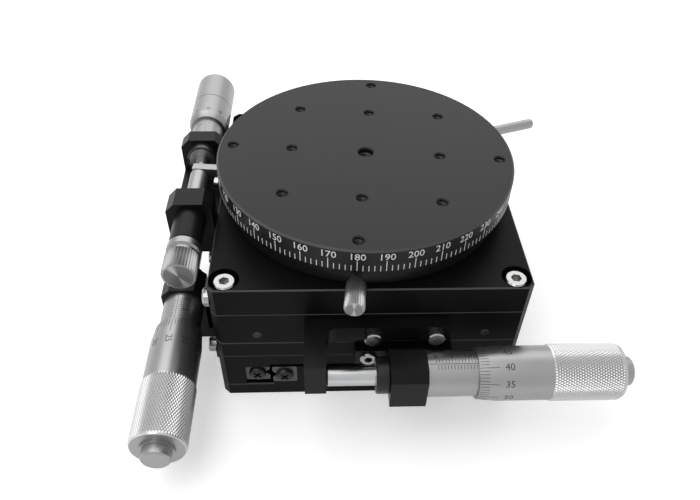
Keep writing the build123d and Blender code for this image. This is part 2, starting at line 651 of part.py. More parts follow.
# positions along Y where the arm meets the spindle and the plunger
arm_turn = radians(-disc_angle)
arm_y = -fine_x * tan(arm_turn)
arm_half = arm_wide / 2 / cos(arm_turn)
lean = 1 / cos(arm_turn) - 1                    # the domed ends meet a face that leans
spindle_tip = arm_y + arm_half + spindle_dome * lean + fine_gap
plunger_tip = arm_y - arm_half - plunger_dome * lean - anvil_gap

fine_place = Pos(fine_x, rear_block_back, fine_z) * Rot(0, 0, 180)
edge = fine_thimble_edge - rear_block_back
fine_sleeve_end = edge + fine_travel_out + 8.0
cavity = fine_sleeve_end + fine_travel_in + 0.5
seam = edge + 14.6
fine_end = cavity + 12.0
fine_tip = spindle_tip - rear_block_back
bore = fine_spindle_radius + fit_gap
inside = fine_sleeve_radius + fit_gap
nut_end = -rear_block_long - 2.7
fine_sleeve = turned_along([
    (bore, nut_end), (fine_stem_radius, nut_end), (fine_stem_radius, 0), (fine_sleeve_radius, 0),
    (fine_sleeve_radius, fine_sleeve_end), (bore, fine_sleeve_end)])
fine_nut = turned_along([
    (fine_stem_radius, nut_end), (fine_stem_radius + 0.9, nut_end),
    (fine_stem_radius + 0.9, -rear_block_long), (fine_stem_radius, -rear_block_long)])
for side in (-1, 1):
    fine_nut -= Pos(side * 5, -nut_end - 0.6, 0) * Box(4, 1.4, 1.6)
fine_spindle = domed(fine_spindle_radius, spindle_dome, cavity + 7 - fine_tip)
fine_spindle = Pos(0, -fine_tip, 0) * Rot(90, 0, 0) * fine_spindle
fine_thimble = turned_along([
    (inside, edge), (fine_thimble_radius - 0.8, edge), (fine_thimble_radius, edge + 3.0),
    (fine_thimble_radius, seam), (inside, seam)])
fine_cap = turned_along([
    (inside, seam), (fine_thimble_radius, seam), (fine_thimble_radius, fine_end - 3.0),
    (fine_thimble_radius - 1.0, fine_end - 1.0), (fine_thimble_radius - 3.0, fine_end),
    (0, fine_end), (0, cavity + 7.1), (bore, cavity + 7.1), (bore, cavity), (inside, cavity)])

housing_end = front_block_front - housing_long
housing = turned(housing_radius, front_block_back, housing_end, fine_x, fine_z)
housing = chamfer(housing.edges().filter_by(GeomType.CIRCLE), 0.3)
housing -= turned(plunger_radius + fit_gap, front_block_back + 1, housing_end - 1, fine_x, fine_z)
plunger_back = front_block_back - 5.0
plunger = domed(plunger_radius, plunger_dome, plunger_tip - plunger_back)
plunger = Pos(fine_x, plunger_tip, fine_z) * Rot(90, 0, 0) * plunger
screw_tip = housing_end + 3.0
coil_long = plunger_back - fine_travel_in - screw_tip - 0.4      # pressed to its shortest
coil_path = Helix((coil_long - 0.8) / 3, coil_long - 0.8, 2.1)
coil = sweep(Plane(origin=coil_path @ 0, z_dir=coil_path % 0) * Circle(0.4), coil_path)
coil = Pos(fine_x, screw_tip + 0.5, fine_z) * Rot(-90, 0, 0) * coil
preload_knob = turned_along([
    (0, -screw_tip), (plunger_radius - 0.1, -screw_tip), (plunger_radius - 0.1, -housing_end + 0.2),
    (knob_radius - 0.2, -housing_end + 0.2), (knob_radius, -housing_end + 0.6),
    (knob_radius, -housing_end + 3.0), (knob_radius - 0.7, -housing_end + 3.4),
    (knob_radius - 0.7, -housing_end + 4.4), (knob_radius, -housing_end + 4.7),
    (knob_radius, -housing_end + 4.4 + knob_long), (knob_radius - 0.3, -housing_end + 4.7 + knob_long),
    (0, -housing_end + 4.7 + knob_long)])
preload_knob = Pos(fine_x, 0, fine_z) * preload_knob

# ---- one file for each piece ----
for axis, slide in (("y", y_slide), ("x", x_slide)):
    names = {"base": f"{axis}_base_plate", "table": f"{axis}_table_plate"}
    for piece, shapes in slide.items():
        save(names.get(piece, f"{axis}_{piece}"), shapes)
for axis, drive in (("x", x_drive), ("y", y_drive)):
    for piece, shapes in drive.items():
        save(f"{axis}_{piece}", shapes)
save("rotation_body", body)
save("body_screws", body_screws)
save("bearing_outer_race", outer_races)
save("bearing_inner_race", inner_race)
save("bearing_retainer", retainer)
save("bearing_rollers", bearing_rollers)
save("turntable_hub", hub)
save("hub_nut", hub_nut)
for name, shape in (("turntable_disc", disc), ("turning_lever", lever), ("clamp_ring", ring),
                    ("tangent_arm", arm), ("arm_screws", arm_screws), ("clamp_pad", pad),
                    ("clamp_knob", knob)):
    shapes = shape if isinstance(shape, list) else [shape]
    save(name, [disc_turn * one for one in shapes])
save("fine_bracket", bracket)
save("fine_bracket_screws", bracket_screws)
for name, shape in (("fine_sleeve", fine_sleeve), ("fine_lock_nut", fine_nut),
                    ("fine_spindle", fine_spindle), ("fine_thimble", fine_thimble),
                    ("fine_thimble_cap", fine_cap)):
    save(name, fine_place * shape)
save("plunger_housing", housing)
save("plunger", plunger)
save("plunger_spring", coil)
save("preload_knob", preload_knob)
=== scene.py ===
import math

import bmesh
import bpy
from mathutils import Matrix, Vector


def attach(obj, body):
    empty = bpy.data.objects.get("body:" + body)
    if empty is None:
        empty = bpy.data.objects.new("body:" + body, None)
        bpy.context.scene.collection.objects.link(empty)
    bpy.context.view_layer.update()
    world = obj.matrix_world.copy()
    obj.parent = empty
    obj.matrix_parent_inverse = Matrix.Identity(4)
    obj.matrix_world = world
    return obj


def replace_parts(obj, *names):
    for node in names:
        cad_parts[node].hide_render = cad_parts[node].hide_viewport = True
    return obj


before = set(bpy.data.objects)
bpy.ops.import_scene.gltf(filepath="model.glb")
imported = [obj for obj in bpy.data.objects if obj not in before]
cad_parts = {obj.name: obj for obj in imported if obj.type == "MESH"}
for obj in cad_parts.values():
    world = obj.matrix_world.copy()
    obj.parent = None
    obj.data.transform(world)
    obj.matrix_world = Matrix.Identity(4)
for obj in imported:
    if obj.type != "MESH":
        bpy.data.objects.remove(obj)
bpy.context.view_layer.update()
print("frame loaded")

# Everything is built in millimetres and turned to metres when a piece is finished.
toMetres = 0.001

# the table stands turned by this much at rest, so that 180 on its scale is a little off the front
tableTurn = math.radians(-5.7)
turnTable = Matrix.Rotation(tableTurn, 4, "Z")
tableFront = Vector((math.sin(tableTurn), -math.cos(tableTurn), 0))

# materials


def linearColour(hexText):
    channels = [int(hexText[i:i + 2], 16) / 255 for i in (1, 3, 5)]
    linear = [c / 12.92 if c <= 0.04045 else ((c + 0.055) / 1.055) ** 2.4 for c in channels]
    return (*linear, 1.0)


def addNode(tree, kind, settings=None, inputs=None):
    node = tree.nodes.new(kind)
    for name, value in (settings or {}).items():
        setattr(node, name, value)
    for name, value in (inputs or {}).items():
        if isinstance(value, bpy.types.NodeSocket):
            tree.links.new(value, node.inputs[name])
        else:
            node.inputs[name].default_value = value
    return node


# what every finish shares: its noises, the stretch of noise that turns to roughness, the relief
surfaceGrain = {"detail": 3.0, "cloudDetail": 2.0, "from": 0.3, "to": 0.7, "reliefMm": 0.02}
# the painted highlight on cut edges: how far upwards such an edge faces
glintEdge = {"facingUp": 0.707, "within": 0.05}
endGlintShape = {"facingFront": -0.97, "wedges": 2.0, "fold": 0.5}
colourA, colourB, colourOut = 6, 7, 2            # a Mix node's sockets when it mixes colours


def facing(tree, axis):
    # how far the surface faces along an axis, from -1 to 1
    surface = addNode(tree, "ShaderNodeNewGeometry")
    return addNode(tree, "ShaderNodeSeparateXYZ", inputs={
        "Vector": surface.outputs["True Normal"]}).outputs[axis]


def paleEdges(tree, place, colour, look):
    # painted highlight: cut edges facing half upwards, away from the middle, are painted paler for
    # the lamps' glint on them
    edges = addNode(tree, "ShaderNodeMath", {"operation": "COMPARE"}, {
        0: facing(tree, "Z"), 1: glintEdge["facingUp"], 2: glintEdge["within"]})
    level = addNode(tree, "ShaderNodeMapping", inputs={"Vector": place, "Scale": (1, 1, 0)})
    reach = addNode(tree, "ShaderNodeVectorMath", {"operation": "LENGTH"}, {
        "Vector": level.outputs["Vector"]})
    outside = addNode(tree, "ShaderNodeMath", {"operation": "GREATER_THAN"}, {
        0: reach.outputs["Value"], 1: look.get("chamferFromMm", 0) / 1000})
    glintMask = addNode(tree, "ShaderNodeMath", {"operation": "MULTIPLY"}, {
        0: edges.outputs["Value"], 1: outside.outputs["Value"]})
    return addNode(tree, "ShaderNodeMix", {"data_type": "RGBA"}, {
        "Factor": glintMask.outputs["Value"], colourA: colour,
        colourB: linearColour(look["chamfer"])}).outputs[colourOut]


def turnedFace(tree, place, colour, end):
    # the end face is painted darker as painted shade, with a painted highlight in two wedges
    # where a lathe's rings would gather the light; end["middle"] is a point on the knob's axis, in
    # millimetres
    centred = addNode(tree, "ShaderNodeMapping", {"vector_type": "TEXTURE"}, {
        "Vector": place, "Location": [c / 1000 for c in end["middle"]],
        "Rotation": (math.radians(90), 0, 0)})
    around = addNode(tree, "ShaderNodeTexGradient", {"gradient_type": "RADIAL"}, {
        "Vector": centred.outputs["Vector"]})
    twice = addNode(tree, "ShaderNodeMath", {"operation": "MULTIPLY_ADD"}, {
        0: around.outputs["Fac"], 1: endGlintShape["wedges"], 2: end["turn"]})
    away = addNode(tree, "ShaderNodeMath", {"operation": "PINGPONG"}, {
        0: twice.outputs["Value"], 1: endGlintShape["fold"]})
    glintWedge = addNode(tree, "ShaderNodeMapRange", inputs={
        "Value": away.outputs["Value"], "From Min": 0.0, "From Max": end["spread"],
        "To Min": 1.0, "To Max": 0.0})
    face = addNode(tree, "ShaderNodeMix", {"data_type": "RGBA"}, {
        "Factor": glintWedge.outputs["Result"], colourA: linearColour(end["dark"]),
        colourB: linearColour(end["light"])})
    front = addNode(tree, "ShaderNodeMath", {"operation": "LESS_THAN"}, {
        0: facing(tree, "Y"), 1: endGlintShape["facingFront"]})
    return addNode(tree, "ShaderNodeMix", {"data_type": "RGBA"}, {
        "Factor": front.outputs["Value"], colourA: colour,
        colourB: face.outputs[colourOut]}).outputs[colourOut]


def metalOrCoat(name, look):
    # broad clouds vary the colour; a grain of look["grainMm"] varies the roughness and the relief
    material = bpy.data.materials.new(name)
    material.use_nodes = True
    tree = material.node_tree
    shader = tree.nodes["Principled BSDF"]
    shader.inputs["Metallic"].default_value = look["metallic"]
    shader.inputs["Specular IOR Level"].default_value = look.get("specular", 0.5)
    place = addNode(tree, "ShaderNodeTexCoord").outputs["Object"]
    grain = addNode(tree, "ShaderNodeTexNoise", inputs={
        "Vector": place, "Scale": 1000 / look["grainMm"],
        "Detail": surfaceGrain["detail"]}).outputs["Fac"]
    clouds = addNode(tree, "ShaderNodeTexNoise", inputs={
        "Vector": place, "Scale": 1000 / look["cloudMm"],
        "Detail": surfaceGrain["cloudDetail"]}).outputs["Fac"]
    colour = addNode(tree, "ShaderNodeMix", {"data_type": "RGBA"}, {
        "Factor": clouds, colourA: linearColour(look["dark"]),
        colourB: linearColour(look["light"])}).outputs[colourOut]
    # painted highlight on the cut edges
    if "chamfer" in look:
        colour = paleEdges(tree, place, colour, look)
    # painted shade and a painted highlight on the knobs' end faces
    if "paintedEnd" in look:
        colour = turnedFace(tree, place, colour, look["paintedEnd"])
    tree.links.new(colour, shader.inputs["Base Color"])
    rough = addNode(tree, "ShaderNodeMapRange", inputs={
        "Value": grain, "From Min": surfaceGrain["from"], "From Max": surfaceGrain["to"],
        "To Min": look["rough"][0], "To Max": look["rough"][1]})
    tree.links.new(rough.outputs["Result"], shader.inputs["Roughness"])
    bump = addNode(tree, "ShaderNodeBump", inputs={
        "Height": grain, "Strength": look["bump"],
        "Distance": surfaceGrain["reliefMm"] / 1000})
    tree.links.new(bump.outputs["Normal"], shader.inputs["Normal"])
    return material


finishes = {
    # bead-blasted, black-dyed aluminium: nearly black, a soft grey bloom where a lamp grazes it;
    # its half-upward cut edges carry a painted highlight
    "anodisedPlate": {"dark": "#0d0d0e", "light": "#111112", "chamfer": "#505052",
                      "metallic": 0.0, "specular": 0.06,
                      "rough": (0.34, 0.46), "bump": 0.22, "grainMm": 0.30, "cloudMm": 22},
    # the turned table, dyed the same: its colour a little paler and its grain smoother than the
    # plates'; the upper cut edge of its rim carries a painted highlight
    "anodisedTable": {"dark": "#161618", "light": "#1a1a1c", "chamfer": "#4a4a4c",
                      "chamferFromMm": 48,
                      "metallic": 0.0, "specular": 0.20,
                      "rough": (0.36, 0.46), "bump": 0.18, "grainMm": 0.25, "cloudMm": 30},
    # the walls of the tapped holes, cut after dyeing: dull bare aluminium, painted dark as painted
    # shade inside the holes
    "holeWallsInShade": {"dark": "#2e2e2f", "light": "#383839", "metallic": 0.6,
                    "rough": (0.34, 0.44), "bump": 0.10, "grainMm": 0.20, "cloudMm": 4},
    # brackets cut with a finer tool, dyed black
    "anodisedBracket": {"dark": "#0f0f10", "light": "#131314", "metallic": 0.0, "specular": 0.12,
                        "rough": (0.30, 0.42), "bump": 0.18, "grainMm": 0.30, "cloudMm": 15},
    # satin chrome plate: even grey metal with wide soft highlights
    "satinChrome": {"dark": "#909090", "light": "#9a9a9a", "metallic": 0.95,
                    "rough": (0.33, 0.41), "bump": 0.10, "grainMm": 0.20, "cloudMm": 14},
    # the same plate on a knurl, painted lighter than the plain plate: a painted highlight for the
    # small flanks that catch the lamp
    "knurledChrome": {"dark": "#b0b0b0", "light": "#bbbbbb", "metallic": 0.95,
                      "rough": (0.27, 0.35), "bump": 0.08, "grainMm": 0.20, "cloudMm": 14},
    # the same plate on straight-knurled knobs, its colour set a little darker;
    # their end faces carry painted shade and a painted highlight in two wedges
    "preloadChrome": {"dark": "#858585", "light": "#919191", "metallic": 0.95,
                      "rough": (0.26, 0.34), "bump": 0.05, "grainMm": 0.20, "cloudMm": 8,
                      "paintedEnd": {"middle": (-57.7, 0, 54.9), "turn": 0.35, "spread": 0.14,
                                    "dark": "#606060", "light": "#a8a8a8"}},
    # the small clamp knob, plated and turned in the same way, looks a little paler;
    # its end face carries the same painted shade and painted highlight
    "clampChrome": {"dark": "#909090", "light": "#9c9c9c", "metallic": 0.95,
                    "rough": (0.26, 0.34), "bump": 0.05, "grainMm": 0.20, "cloudMm": 8,
                    "paintedEnd": {"middle": (-6.15, 0, 55.05), "turn": 0.5, "spread": 0.14,
                                  "dark": "#707070", "light": "#b0b0b0"}},
    # ground and polished steel: bright, with long clear highlights along the rod
    "polishedSteel": {"dark": "#a8a9aa", "light": "#b4b5b6", "metallic": 1.0,
                      "rough": (0.14, 0.26), "bump": 0.05, "grainMm": 0.30, "cloudMm": 8},
    # bright stainless screws, slightly uneven from tumbling
    "stainless": {"dark": "#959594", "light": "#a1a1a0", "metallic": 1.0,
                  "rough": (0.18, 0.30), "bump": 0.05, "grainMm": 0.25, "cloudMm": 3},
    # hardened guide steel, oiled and dark
    "guideSteel": {"dark": "#4c4c4e", "light": "#58585a", "metallic": 1.0,
                   "rough": (0.30, 0.42), "bump": 0.12, "grainMm": 0.35, "cloudMm": 9},
    # black oxide on small steel parts: dark with a dull metallic glint
    "blackOxide": {"dark": "#1e1e1f", "light": "#272728", "metallic": 0.6,
                   "rough": (0.28, 0.40), "bump": 0.12, "grainMm": 0.30, "cloudMm": 4},
    # plain steel of bearing rings and rollers
    "bearingSteel": {"dark": "#97989a", "light": "#a3a4a6", "metallic": 1.0,
                     "rough": (0.16, 0.28), "bump": 0.08, "grainMm": 0.30, "cloudMm": 10},
    # drawn spring wire: plain grey, a little dull
    "springWire": {"dark": "#6c6d6f", "light": "#7a7b7d", "metallic": 1.0,
                   "rough": (0.24, 0.36), "bump": 0.10, "grainMm": 0.30, "cloudMm": 5},
    # bare turned brass: the one warm colour, on the clamp's pad
    "plainBrass": {"dark": "#a07d3b", "light": "#ae8a45", "metallic": 1.0,
                   "rough": (0.25, 0.38), "bump": 0.12, "grainMm": 0.30, "cloudMm": 4},
    # white paint rubbed into the table's engraved scale
    "whitePaint": {"dark": "#e6e6e4", "light": "#efefed", "metallic": 0.0,
                   "rough": (0.50, 0.62), "bump": 0.05, "grainMm": 0.15, "cloudMm": 6},
    # black paint in the micrometers' graduations
    "blackPaint": {"dark": "#262627", "light": "#303031", "metallic": 0.0,
                   "rough": (0.50, 0.62), "bump": 0.05, "grainMm": 0.15, "cloudMm": 6},
}
finish = {name: metalOrCoat(name, look) for name, look in finishes.items()}

finishOfNode = {
    "anodisedPlate": ["y_base_plate", "y_table_plate", "x_base_plate", "x_table_plate",
                      "rotation_body"],
    "anodisedTable": ["turntable_disc", "clamp_ring", "turntable_hub"],
    "anodisedBracket": ["x_holder", "y_holder", "x_anvil", "y_anvil", "fine_bracket",
                        "plunger_housing"],
    "satinChrome": ["x_sleeve", "y_sleeve", "fine_sleeve", "x_thimble_cap", "y_thimble_cap",
                    "fine_thimble", "fine_thimble_cap", "plunger", "tangent_arm",
                    "turning_lever"],
    "polishedSteel": ["x_spindle", "y_spindle", "fine_spindle"],
    "guideSteel": ["x_inner_rails", "x_outer_rails", "y_inner_rails", "y_outer_rails",
                   "fine_lock_nut"],
    "blackOxide": ["x_lock_nut", "y_lock_nut"],
    "bearingSteel": ["bearing_outer_race", "bearing_inner_race", "bearing_retainer", "hub_nut",
                     "bearing_rollers", "x_roller_cages", "y_roller_cages"],
    "springWire": ["x_return_spring", "y_return_spring", "plunger_spring"],
    "plainBrass": ["clamp_pad"],
}
for name, nodes in finishOfNode.items():
    for node in nodes:
        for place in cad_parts[node].material_slots:
            place.material = finish[name]
print("materials made")

# making pieces
weld = 0.0005                                    # points nearer than this are one


def finishPiece(name, bm, material, body, smoothBelow=35):
    # smoothBelow: edges bent by more degrees than this stay sharp
    bmesh.ops.remove_doubles(bm, verts=bm.verts, dist=weld)
    bmesh.ops.recalc_face_normals(bm, faces=bm.faces)
    bmesh.ops.scale(bm, vec=(toMetres, toMetres, toMetres), verts=bm.verts)
    mesh = bpy.data.meshes.new(name)
    bm.to_mesh(mesh)
    bm.free()
    mesh.shade_smooth()
    mesh.set_sharp_from_angle(angle=math.radians(smoothBelow))
    mesh.materials.append(finish[material])
    piece = bpy.data.objects.new(name, mesh)
    bpy.context.scene.collection.objects.link(piece)
    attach(piece, body)
    return piece


def madeSince(bm, before):
    return [v for v in bm.verts if v not in before]


def newRing(made):
    # the points that an extrusion made, and the edges among them
    verts = [g for g in made["geom"] if isinstance(g, bmesh.types.BMVert)]
    edges = [g for g in made["geom"] if isinstance(g, bmesh.types.BMEdge)
             and all(v in verts for v in g.verts)]
    return verts, edges


def spinProfile(bm, points, steps, place=Matrix()):
    # points are (radius, height); the profile is closed on the axis or on itself
    before = set(bm.verts)
    verts = [bm.verts.new((r, 0, h)) for r, h in points]
    edges = [bm.edges.new((a, b)) for a, b in zip(verts, verts[1:])]
    bmesh.ops.spin(bm, geom=verts + edges, cent=(0, 0, 0), axis=(0, 0, 1),
                   angle=math.tau, steps=steps, use_merge=True)
    bmesh.ops.transform(bm, matrix=place, verts=madeSince(bm, before))


def addBlock(bm, size, place):
    made = bmesh.ops.create_cube(bm, size=1.0)
    bmesh.ops.scale(bm, vec=size, verts=made["verts"])
    bmesh.ops.transform(bm, matrix=place, verts=made["verts"])


lettering = {"sizePerHeight": 1.4, "curveSteps": 3}


def addWords(bm, words, height, depth, place):
    # place: X along the words, Y up the letters, Z out of the surface
    curve = bpy.data.curves.new("words", "FONT")
    curve.body = words
    curve.size = height * lettering["sizePerHeight"]
    curve.align_x, curve.align_y = "CENTER", "CENTER"
    curve.extrude = depth / 2
    curve.resolution_u = lettering["curveSteps"]
    holder = bpy.data.objects.new("words", curve)
    mesh = bpy.data.meshes.new_from_object(holder)
    mesh.transform(place)
    bm.from_mesh(mesh)
    bpy.data.objects.remove(holder)
    bpy.data.curves.remove(curve)
    bpy.data.meshes.remove(mesh)


def standOn(x, y, z):
    # a matrix from three columns: where local X, Y and Z point
    return Matrix((x, y, z)).transposed().to_4x4()


def placeOn(bm, before, seat, out):
    # what was made since "before" is turned to point along out, its seat on the given point
    out = Vector(out).normalized()
    across = out.orthogonal().normalized()
    place = Matrix.Translation(Vector(seat)) @ standOn(across, out.cross(across), out)
    bmesh.ops.transform(bm, matrix=place, verts=madeSince(bm, before))


# marks on round surfaces are laid out flat, x along the axis, y around and z out, then wrapped


def radiusAt(profile, place):
    # profile is a list of (place along the axis, radius); past its end the radius stays
    place = max(place, profile[0][0])
    for (low, first), (high, last) in zip(profile, profile[1:]):
        if place <= high:
            return first + (place - low) / (high - low) * (last - first)
    return profile[-1][1]


def wrapRound(bm, look, profile, strip):
    # y = 0 comes to lie at look["up"]; the layout is first cut in strips, so that it can bend
    low = min(v.co.y for v in bm.verts)
    high = max(v.co.y for v in bm.verts)
    for line in range(int(low / strip), int(high / strip) + 1):
        bmesh.ops.bisect_plane(bm, geom=bm.verts[:] + bm.edges[:] + bm.faces[:],
                               plane_co=(0, line * strip, 0), plane_no=(0, 1, 0))
    along, up = Vector(look["along"]), Vector(look["up"]).normalized()
    side = up.cross(along)
    for vert in bm.verts:
        radius = radiusAt(profile, vert.co.x)
        angle = vert.co.y / profile[-1][1]
        out = up * math.cos(angle) + side * math.sin(angle)
        vert.co = Vector(look["axis"]) + along * vert.co.x + out * (radius + vert.co.z)


# degree scale on the table's rim: a mark every two degrees, figures every ten; the rim is wide
# enough for its marks to lie well uncut, so its strip is wider than the whole layout
rimScale = {"axis": (0, 0, 0), "along": (0, 0, 1), "up": tableFront, "radius": 49.8,
            "bottom": 59.1, "every": 2, "figureEvery": 10, "short": 2.15, "long": 3.9,
            "line": 0.24, "figure": 2.45, "figureMiddle": 64.45, "proud": 0.03, "strip": 400}


def makeRimScale(look):
    bm = bmesh.new()
    degree = look["radius"] * math.radians(1)
    for value in range(0, 360, look["every"]):
        around = (180 - value) * degree
        figured = value % look["figureEvery"] == 0
        high = look["long"] if figured else look["short"]
        addBlock(bm, (high, look["line"], 2 * look["proud"]),
                 Matrix.Translation((look["bottom"] + high / 2, around, 0)))
        if figured:
            flat = Matrix.Translation((look["figureMiddle"], around, 0))
            addWords(bm, str(value), look["figure"], 2 * look["proud"],
                     flat @ Matrix.Rotation(math.radians(-90), 4, "Z"))
    wrapRound(bm, look, [(0, look["radius"])], look["strip"])
    finishPiece("degreeScale", bm, "whitePaint", "turntable", 20)


makeRimScale(rimScale)
print("rim scale made")

# threads in the tapped holes: eight on a grid, four near the rim, a larger one in the middle
tappedHoles = {"bottom": 58.7, "top": 66.4, "grid": 25.0, "rim": 45.0, "stepsPerTurn": 18,
               "small": {"radius": 1.66, "pitch": 0.7, "depth": 0.30},
               "centre": {"radius": 2.51, "pitch": 1.0, "depth": 0.42}}


def addThread(bm, spot, look, thread):
    # a triangular ridge wound up the wall of the hole
    r, pitch, steps = thread["radius"], thread["pitch"], look["stepsPerTurn"]
    turns = int((look["top"] - look["bottom"]) / pitch) - 1
    outline = [(r, 0), (r - thread["depth"], pitch / 2), (r, pitch)]
    before = set(bm.verts)
    face = bm.faces.new([bm.verts.new((a, 0, look["bottom"] + h)) for a, h in outline])
    bmesh.ops.spin(bm, geom=[face], cent=(0, 0, 0), axis=(0, 0, 1), use_duplicate=False,
                   dvec=(0, 0, pitch / steps), angle=math.tau * turns, steps=steps * turns)
    bmesh.ops.translate(bm, vec=spot, verts=madeSince(bm, before))


def makeThreads(look):
    bm = bmesh.new()
    step, far = look["grid"], look["rim"]
    spots = [(i * step, j * step) for i in (-1, 0, 1) for j in (-1, 0, 1) if i or j]
    spots += [(far, 0), (0, far), (-far, 0), (0, -far)]
    for x, y in spots:
        addThread(bm, turnTable @ Vector((x, y, 0)), look, look["small"])
    addThread(bm, Vector((0, 0, 0)), look, look["centre"])
    finishPiece("tappedThreads", bm, "holeWallsInShade", "turntable", 20)


makeThreads(tappedHoles)
print("threads made")

# graduations of the micrometers; their figures rise towards up cross along
sleeveMarks = {"lead": 2.0, "above": 0.3, "below": 0.35, "figureRise": 0.65, "strip": 0.4}
thimbleMarks = {"divisions": 50, "thin": 0.03, "fromEdge": 0.12, "figureGrowth": 1.2, "strip": 0.5}


def makeSleeveMarks(name, look, body):
    # whole millimetres on one side of the datum line, the halves on the other
    bm = bmesh.new()
    start, wide, thin, tick = look["zero"], look["line"], look["thin"], look["tick"]
    datum = look["span"] + sleeveMarks["lead"]
    addBlock(bm, (datum, wide, thin),
             Matrix.Translation((start + datum / 2 - sleeveMarks["lead"], 0, 0)))
    for count in range(look["span"] + 1):
        high = look["tall"] if count % 5 == 0 else tick
        addBlock(bm, (wide, high, thin),
                 Matrix.Translation((start + count, high / 2 + sleeveMarks["above"], 0)))
        if count < look["span"]:
            half = Matrix.Translation((start + count + 0.5, -tick / 2 - sleeveMarks["below"], 0))
            addBlock(bm, (wide, tick, thin), half)
        if count % 5 == 0:
            middle = look["tall"] + look["figure"] * sleeveMarks["figureRise"]
            addWords(bm, str(count), look["figure"], thin,
                     Matrix.Translation((start + count, middle, 0)))
    wrapRound(bm, look, [(0, look["sleeve"])], sleeveMarks["strip"])
    finishPiece(name, bm, "blackPaint", body, 20)


def makeThimbleMarks(name, look, body):
    # fifty divisions on the bevelled edge, a figure at every fifth
    bm = bmesh.new()
    edge, thin, divisions = look["edge"], thimbleMarks["thin"], thimbleMarks["divisions"]
    division = math.tau * look["plain"] / divisions
    for count in range(divisions):
        long = look["longMark"] if count % 5 == 0 else look["shortMark"]
        place = (count - look["reading"] + divisions // 2) % divisions - divisions // 2
        around = place * division
        addBlock(bm, (long, look["line"], thin),
                 Matrix.Translation((edge + thimbleMarks["fromEdge"] + long / 2, around, 0)))
        if count % 5 == 0:
            addWords(bm, str(count), look["figure"] * thimbleMarks["figureGrowth"], thin,
                     Matrix.Translation((look["figurePlace"], around, 0)))
    wrapRound(bm, look, [(edge, look["edgeRadius"]), (edge + look["bevel"], look["plain"])],
              thimbleMarks["strip"])
    finishPiece(name, bm, "blackPaint", body, 20)


# a head's axis, the way it points and the side its datum line is on; then the sleeve's scale and
# the thimble's, where zero, edge and figurePlace are places along the axis
xHead = {"axis": (0, -64.0, 27.75), "along": (1, 0, 0), "up": (0, -0.19, 0.98),
         "sleeve": 7.0, "zero": 19.4, "span": 25, "line": 0.17, "thin": 0.024, "tick": 1.45,
         "tall": 1.9, "figure": 1.85, "edge": 32.32, "reading": 42, "edgeRadius": 7.9,
         "plain": 8.6, "bevel": 6.3, "shortMark": 2.9, "longMark": 5.9, "figurePlace": 41.5}
yHead = dict(xHead, axis=(-65.0, 0, 17.4), along=(0, -1, 0), up=(-0.092, 0, 0.996),
             zero=26.65, edge=36.9, reading=25, figurePlace=46.1)
fineHead = {"axis": (-57.7, 0, 54.9), "along": (0, 1, 0), "up": (0.087, 0, 0.996),
            "sleeve": 5.6, "zero": 22.6, "span": 20, "line": 0.11, "thin": 0.024,
            "tick": 1.1, "tall": 1.6, "figure": 1.3, "edge": 31.6, "reading": 0,
            "edgeRadius": 6.5, "plain": 7.3, "bevel": 3.0, "shortMark": 1.5,
            "longMark": 2.5, "figurePlace": 36.0}
makeSleeveMarks("xSleeveMarks", xHead, "y_carriage")
makeSleeveMarks("ySleeveMarks", yHead, "base")
makeSleeveMarks("fineSleeveMarks", fineHead, "x_carriage")
makeThimbleMarks("xThimbleMarks", xHead, "x_thimble")
makeThimbleMarks("yThimbleMarks", yHead, "y_thimble")
makeThimbleMarks("fineThimbleMarks", fineHead, "fine_thimble")


def placeAlong(bm, head):
    # what is made round Z from z = 0 goes on the micrometer's axis, from its thimble's edge
    along, up = Vector(head["along"]), Vector(head["up"]).normalized()
    place = Matrix.Translation(Vector(head["axis"]) + along * head["edge"])
    bmesh.ops.transform(bm, matrix=place @ standOn(up, along.cross(up), along), verts=bm.verts)


# the joint line between the fine thimble and its cap, placed from the thimble's edge
fineSeam = {"place": 14.6, "radius": 7.3, "wide": 0.28, "sunk": 0.1, "proud": 0.012, "steps": 96}


def makeSeam(look, head):
    bm = bmesh.new()
    low, high = look["place"] - look["wide"] / 2, look["place"] + look["wide"] / 2
    inner, outer = look["radius"] - look["sunk"], look["radius"] + look["proud"]
    spinProfile(bm, [(inner, low), (outer, low), (outer, high), (inner, high), (inner, low)],
                look["steps"])
    placeAlong(bm, head)
    finishPiece("fineThimbleSeam", bm, "blackOxide", "fine_thimble", 20)


makeSeam(fineSeam, fineHead)
print("graduations made")

# knurls
# thimbles: a turned shell, its grip cut with a diamond knurl (sizes from the thimble's edge)
thimbleGrip = {"valley": 8.64, "start": 22.75, "end": 44.95, "around": 62, "rows": 14,
               "proud": 0.36, "inside": 8.3, "endRadius": 8.3, "endPlace": 45.5, "steps": 96,
               "shell": [(0, 45.5), (8.35, 45.5), (8.35, 22.9), (8.6, 22.7), (8.6, 6.3), (7.9, 0),
                         (7.03, 0), (7.03, 42.8), (4.04, 42.8), (4.04, 43.6), (0, 43.6)]}


def makeThimble(name, head, look, body, node):
    bm = bmesh.new()
    spinProfile(bm, look["shell"], look["steps"])
    placeAlong(bm, head)
    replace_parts(finishPiece(name + "Shell", bm, "satinChrome", body, 12), node)
    makeDiamondKnurl(name + "Knurl", head, look, body)


